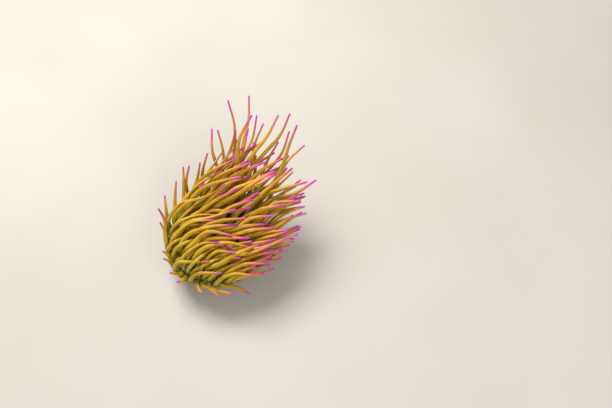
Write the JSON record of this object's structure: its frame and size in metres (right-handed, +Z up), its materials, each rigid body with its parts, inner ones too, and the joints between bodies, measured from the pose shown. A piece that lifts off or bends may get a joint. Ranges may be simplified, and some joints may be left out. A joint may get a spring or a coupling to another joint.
{
  "type": "sea anemone",
  "caption": "Sea anemone on its pedal disc: a short column under a wide crown of long tapering tentacles that stream up and to one side.",
  "frame": {"origin": "centre of the flat sole, at floor level", "axes": "+Z up from the floor, +X the side that the tentacles stream to, +Y the side of the tall tentacles of the fan"},
  "size_m": [0.1016, 0.1227, 0.076],
  "materials": {
    "foot": "moist skin, finely wrinkled",
    "column": "moist smooth skin",
    "oral_disc": "moist smooth skin with fine rays",
    "lips": "moist ribbed skin",
    "tentacles": "moist translucent skin, olive-gold with magenta tips"
  },
  "bodies": {
    "root": {"pedal_disc": "foot", "column": "column", "collar": "column", "oral_disc": "oral_disc", "mouth": "lips", "crown_inner_01": "tentacles", "crown_inner_02": "tentacles", "crown_inner_03": "tentacles", "crown_inner_04": "tentacles", "crown_inner_05": "tentacles", "crown_inner_06": "tentacles", "crown_inner_07": "tentacles", "crown_inner_08": "tentacles", "crown_inner_09": "tentacles", "crown_inner_10": "tentacles", "crown_inner_11": "tentacles", "crown_inner_12": "tentacles", "crown_outer_01": "tentacles", "crown_outer_02": "tentacles", "crown_outer_03": "tentacles", "crown_outer_04": "tentacles", "crown_outer_05": "tentacles", "crown_outer_06": "tentacles", "crown_outer_07": "tentacles", "crown_outer_08": "tentacles", "crown_outer_09": "tentacles", "crown_outer_10": "tentacles", "crown_outer_11": "tentacles", "crown_outer_12": "tentacles", "crown_outer_13": "tentacles", "crown_outer_14": "tentacles", "crown_outer_15": "tentacles", "crown_outer_16": "tentacles", "crown_outer_17": "tentacles", "crown_outer_18": "tentacles", "crown_outer_19": "tentacles", "crown_outer_20": "tentacles", "crown_outer_21": "tentacles", "crown_outer_22": "tentacles", "crown_outer_23": "tentacles", "crown_outer_24": "tentacles"}
  },
  "joints": []
}
